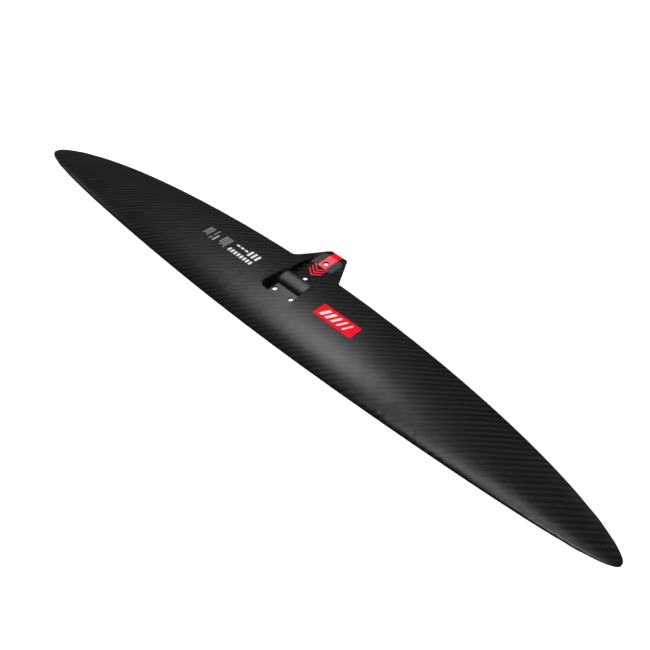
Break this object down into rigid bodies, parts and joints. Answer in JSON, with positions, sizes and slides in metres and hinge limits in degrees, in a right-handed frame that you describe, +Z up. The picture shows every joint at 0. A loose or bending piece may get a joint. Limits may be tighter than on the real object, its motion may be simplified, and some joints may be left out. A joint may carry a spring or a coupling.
{
  "type": "hydrofoil front wing",
  "caption": "Long slender carbon hydrofoil front wing with drooped tips and a central pocket with screw holes that bolts to a fuselage.",
  "frame": {"origin": "midway between the two front screw holes, on the pocket floor", "axes": "+X along the span to the right tip, +Y towards the trailing edge, +Z up, out of the pocket"},
  "size_m": [0.9978, 0.1778, 0.0227],
  "materials": {
    "carbon_shell": "clear-coated twill carbon, satin gloss",
    "carbon_block": "moulded carbon laminate, satin",
    "carbon_tow": "unidirectional carbon, dull",
    "foam": "closed-cell foam",
    "red_print": "flat red print under clear coat",
    "white_print": "flat white print under clear coat"
  },
  "bodies": {
    "root": {"badge_mark": "white_print", "badge_panel": "red_print", "centre_block": "carbon_block", "front_core_left": "foam", "front_core_right": "foam", "locating_rib": "carbon_block", "lower_skin": "carbon_shell", "nose_filler_left": "carbon_tow", "nose_filler_right": "carbon_tow", "rear_core_left": "foam", "rear_core_right": "foam", "spar_cap_lower": "carbon_tow", "spar_cap_upper": "carbon_tow", "spar_web_left": "foam", "spar_web_right": "foam", "spec_blocks": "white_print", "spec_lines": "white_print", "tail_filler_left": "carbon_tow", "tail_filler_right": "carbon_tow", "tip_filler_left": "carbon_tow", "tip_filler_right": "carbon_tow", "tongue_emblem": "white_print", "tongue_stripe": "red_print", "upper_skin": "carbon_shell"}
  },
  "joints": []
}
